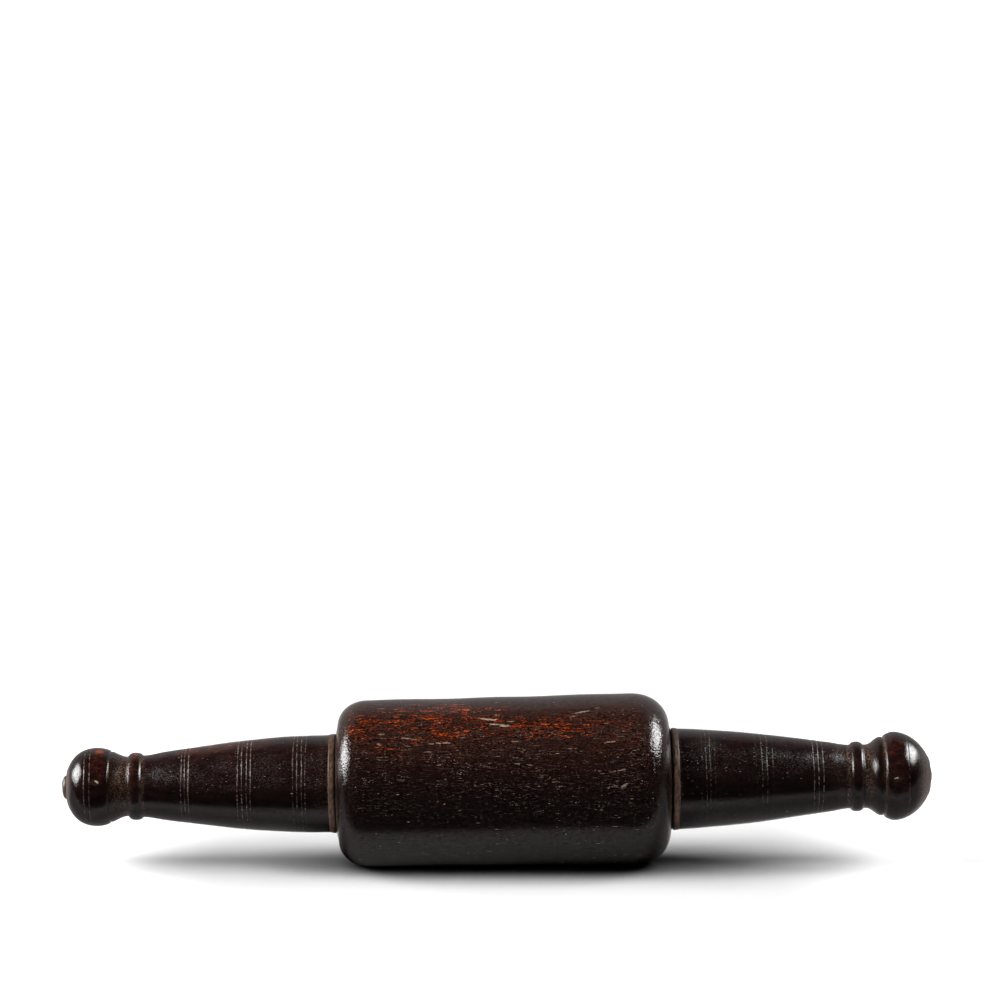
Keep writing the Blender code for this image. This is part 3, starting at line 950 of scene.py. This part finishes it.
def washer_leather():
    """Brown waxed leather, palest towards the handle."""
    g = Graph(bpy.data.materials.new("washer_leather"))
    place_mm = g.grain_space()
    pebble = g.noise(place_mm, (0.7, 0.8, 0.8), (0, 2, 4), 3.0, 0.75)
    dust = g.noise(place_mm, (1.2, 3.5, 3.5), (4, 2, 0), 3.0, 0.65)
    handle_side = g.attribute("handle_side")
    pale = g.times(g.band(dust, 0.36, 0.62, 0.25, 1.0), g.band(pebble, 0.34, 0.60, 0.2, 1.0))
    pale = g.times(pale, g.band(handle_side, 0.0, 0.55, 0.45, 1.0))
    colour = g.mix(pale, (0.014, 0.008, 0.006), (0.185, 0.100, 0.066))
    return g.finish(colour, g.band(dust, 0.35, 0.65, 0.32, 0.50), g.bump(pebble, 0.16 * MM), 0.35)


def peg_wood():
    """Dark waxed end grain with a pale broken chip."""
    g = Graph(bpy.data.materials.new("peg_wood"))
    place_mm = g.grain_space()
    fibre = g.noise(place_mm, (0.9, 0.6, 0.6), (3, 0, 1), 3.0, 0.7)
    dark = g.ramp(fibre, [(0.35, (0.010, 0.006, 0.005)), (0.65, (0.034, 0.016, 0.010))])
    chip = g.times(g.band(g.attribute("chip"), 0.35, 0.60), g.band(fibre, 0.36, 0.50, 0.3, 1.0))
    colour = g.mix(chip, dark, (0.55, 0.42, 0.31))
    return g.finish(colour, g.band(chip, 0.0, 1.0, 0.20, 0.6), g.bump(fibre, 0.06 * MM))


def boxwood():
    """Plain yellow-brown wood of the bushes, which are hidden in the barrel."""
    g = Graph(bpy.data.materials.new("boxwood"))
    place_mm = g.grain_space()
    grain = g.noise(place_mm, (12, 0.8, 0.8), (0, 5, 2), 3.0, 0.6)
    colour = g.ramp(grain, [(0.3, (0.30, 0.18, 0.07)), (0.7, (0.50, 0.35, 0.16))])
    return g.finish(colour, g.band(grain, 0.3, 0.7, 0.35, 0.5), g.bump(grain, 0.05 * MM))


# ---------------------------------------------------------------- stage
CAMERA_ELEVATION_DEG = 13.0
CAMERA_DISTANCE = 1.867  # from the axle's middle, along the lens axis
CAMERA_LENS_MM = 144.0
AIM_ABOVE = 0.1313  # the picture's middle lies this far above the axle
AIM_ASIDE = 0.0015

AMBIENT = 0.02  # light from all round
ROOM_GLOW = 0.36  # how bright the polish mirrors the room behind the tool
BACKDROP = 1.1  # what the camera sees past the floor's far edge
SKY_REACH = 0.05  # the floor's colour is painted darker, a painted contact shadow, where the tool hides its sky within this distance
FLOOR_ALBEDO = 0.848
FLOOR_GLOW = 0.36  # the floor glows by this much from GLOW_FULL out to each side, and not within GLOW_FROM
GLOW_FROM = 0.125
GLOW_FULL = 0.190
CARD_FRONT = -0.052  # the mirrored tabletop ends this far in front of the axle, before it is turned
CARD_TURN_DEG = -3.7
CARD_GLOW = 0.56

# Softboxes that only the polish mirrors: name, direction, distance, width, height, radiance
SOFTBOXES = [
    ("left_softbox", (-0.927, 0.03, 0.375), 1.15, 0.66, 0.48, 19.0),
    ("right_softbox", (0.797, 0.12, 0.592), 1.15, 0.72, 0.42, 18.0),
]

# The studio's lamps, which light the wood and throw the soft shadow: azimuth from +X, elevation,
# half width, and the share of a pale floor's brightness that each gives
SHADOW_LAMPS_DEG = [
    (178, 44, 16, 0.36),
    (205, 30, 15, 0.26),
    (150, 27, 13, 0.12),
    (-35, 44, 13, 0.15),
    (5, 44, 13, 0.15),
]
PALE_ALBEDO = 0.80  # the floor's albedo that the lamps' shares are given for


def add_camera():
    """The camera, a little above the tool and level across, with the tool low in the picture."""
    elevation = math.radians(CAMERA_ELEVATION_DEG)
    rise = math.atan2(AIM_ABOVE, CAMERA_DISTANCE)
    pitch = elevation - rise  # the lens axis points this far below the horizontal
    back = Vector((0, -math.cos(pitch), math.sin(pitch)))
    picture_up = Vector((0, math.sin(pitch), math.cos(pitch)))
    aim = AXLE_POINT + picture_up * AIM_ABOVE + Vector((AIM_ASIDE, 0, 0))
    data = bpy.data.cameras.new("camera")
    data.lens = CAMERA_LENS_MM
    data.sensor_width = 36.0
    data.clip_start = 0.05
    data.clip_end = 100
    camera = bpy.data.objects.new("camera", data)
    camera.location = aim + back * CAMERA_DISTANCE
    camera.rotation_euler = (math.pi / 2 - pitch, 0, 0)
    bpy.context.scene.collection.objects.link(camera)
    bpy.context.scene.camera = camera


def add_softbox(name, direction, distance, width, height, radiance):
    """A rectangular area light aimed at the object; its power follows from its radiance."""
    data = bpy.data.lights.new(name, "AREA")
    data.shape = "RECTANGLE"
    data.size = width
    data.size_y = height
    data.energy = radiance * math.pi * width * height
    light = bpy.data.objects.new(name, data)
    way = Vector(direction).normalized()
    light.location = AXLE_POINT + way * distance
    light.rotation_euler = way.to_track_quat("Z", "Y").to_euler()
    bpy.context.scene.collection.objects.link(light)
    return light


def plane_object(name, x_range, y_range, height):
    """A level rectangle of the stage, which isn't part of the object."""
    mesh = bpy.data.meshes.new(name)
    bm = bmesh.new()
    left, right = x_range
    front, back = y_range
    corners = [(left, front), (right, front), (right, back), (left, back)]
    bm.faces.new([bm.verts.new((x, y, height)) for x, y in corners])
    bm.to_mesh(mesh)
    bm.free()
    obj = bpy.data.objects.new(name, mesh)
    bpy.context.scene.collection.objects.link(obj)
    return obj


def add_floor():
    """The pale floor, with a painted shadow where the tool hides its sky, and a painted glow a little
    towards both sides.
    """
    floor = plane_object("floor", (-0.8, 0.8), (-0.7, 1.1), 0.0)
    g = Graph(bpy.data.materials.new("floor_white"))
    # painted shadow: the floor's colour is darkened where ambient occlusion finds the tool close
    open_sky = g.node("ShaderNodeAmbientOcclusion", {"Distance": SKY_REACH}, samples=12).outputs["AO"]
    shade = g.mix(g.band(open_sky, 0.0, 0.60), (0.0, 0.0, 0.0), (FLOOR_ALBEDO,) * 3)
    place_node = g.node("ShaderNodeTexCoord")
    along = g.node("ShaderNodeSeparateXYZ", {0: place_node.outputs["Object"]}).outputs[0]
    # painted light: the floor glows towards both sides, though no lamp lights it there
    glow = g.band(g.math("ABSOLUTE", along), GLOW_FROM, GLOW_FULL, 0.0, FLOOR_GLOW)
    g.set(g.shader.inputs["Emission Color"], (1.0, 1.0, 1.0, 1.0))
    g.set(g.shader.inputs["Emission Strength"], glow)
    g.set(g.shader.inputs["Specular IOR Level"], 0.0)
    g.set(g.shader.inputs["Base Color"], shade)
    g.set(g.shader.inputs["Roughness"], 0.9)
    floor.data.materials.append(g.owner)
    floor.visible_glossy = False


def add_floor_card():
    """The pale tabletop as the polish mirrors it: it ends a little in front of the tool."""
    card = plane_object("floor_card", (-1.0, 1.0), (CARD_FRONT, 1.2), 0.0004)
    card.rotation_euler = (0, 0, math.radians(CARD_TURN_DEG))
    card.visible_camera = False
    card.visible_diffuse = False
    card.visible_shadow = False
    g = Graph(bpy.data.materials.new("floor_card_glow"))
    place_node = g.node("ShaderNodeTexCoord")
    parts = g.node("ShaderNodeSeparateXYZ", {0: place_node.outputs["Object"]})
    # painted shadow: the mirrored tabletop's glow is painted dark close to the tool along the barrel; past
    # the barrel's ends it keeps at least half
    from_tool = g.band(g.math("ABSOLUTE", parts.outputs[1]), 0.010, 0.042)
    past_barrel = g.band(g.math("ABSOLUTE", parts.outputs[0]), 0.070, 0.110, 0.0, 0.50)
    glow = g.times(g.most(from_tool, past_barrel), CARD_GLOW)
    emission = g.node("ShaderNodeEmission", {"Color": (1.0, 0.93, 0.93, 1), "Strength": glow})
    output = g.tree.nodes["Material Output"]
    g.tree.links.new(emission.outputs[0], output.inputs["Surface"])
    card.data.materials.append(g.owner)


def add_world():
    """White for the camera and soft light from all round; the polish mirrors a pale room behind the tool."""
    world = bpy.data.worlds.new("studio")
    bpy.context.scene.world = world
    g = Graph(world)
    g.tree.nodes.clear()
    path = g.node("ShaderNodeLightPath")
    direction = g.node("ShaderNodeTexCoord").outputs["Generated"]
    parts = g.node("ShaderNodeSeparateXYZ", {0: direction})
    behind = g.band(parts.outputs[1], 0.0, 0.45)
    below_top = g.band(parts.outputs[2], 0.95, 0.70)
    room = g.times(g.times(behind, below_top), ROOM_GLOW)
    lit = {0: path.outputs["Is Glossy Ray"], 2: AMBIENT, 3: room}
    lit = g.node("ShaderNodeMix", lit, data_type="FLOAT").outputs[0]
    seen = {0: path.outputs["Is Camera Ray"], 2: lit, 3: BACKDROP}
    seen = g.node("ShaderNodeMix", seen, data_type="FLOAT").outputs[0]
    background = g.node("ShaderNodeBackground", {"Color": (1, 1, 1, 1), "Strength": seen})
    g.node("ShaderNodeOutputWorld", {"Surface": background.outputs[0]})


def add_lights():
    """Softboxes that the polish mirrors, and lamps that light the wood and throw the soft shadow."""
    for box in SOFTBOXES:
        add_softbox(*box).visible_diffuse = False
    for number, (azimuth, elevation, half_width, share) in enumerate(SHADOW_LAMPS_DEG):
        lamp = bpy.data.lights.new(f"shadow_lamp_{number}", "SUN")
        lamp.angle = math.radians(2 * half_width)
        lamp.energy = share * math.pi / (PALE_ALBEDO * math.sin(math.radians(elevation)))
        light = bpy.data.objects.new(lamp.name, lamp)
        light.rotation_euler = (0, math.radians(90 - elevation), math.radians(azimuth))
        light.visible_glossy = False
        bpy.context.scene.collection.objects.link(light)


def main():
    """Makes every piece, gives the hidden bushes their wood, and sets the stage."""
    wood = handle_wood()
    add_barrel(barrel_wood())
    add_axle(end_grain())
    leather = washer_leather()
    peg = peg_wood()
    bush_wood = boxwood()
    for side in ("left", "right"):
        handle = add_handle(side, wood)
        add_washer(side, leather)
        add_peg(side, handle, peg)
        bush = frame["nodes"][side + "_bush"]
        bush.data.materials.clear()
        bush.data.materials.append(bush_wood)
    add_floor()
    add_floor_card()
    add_world()
    add_lights()
    add_camera()
    bpy.context.scene.view_settings.view_transform = "Standard"


main()
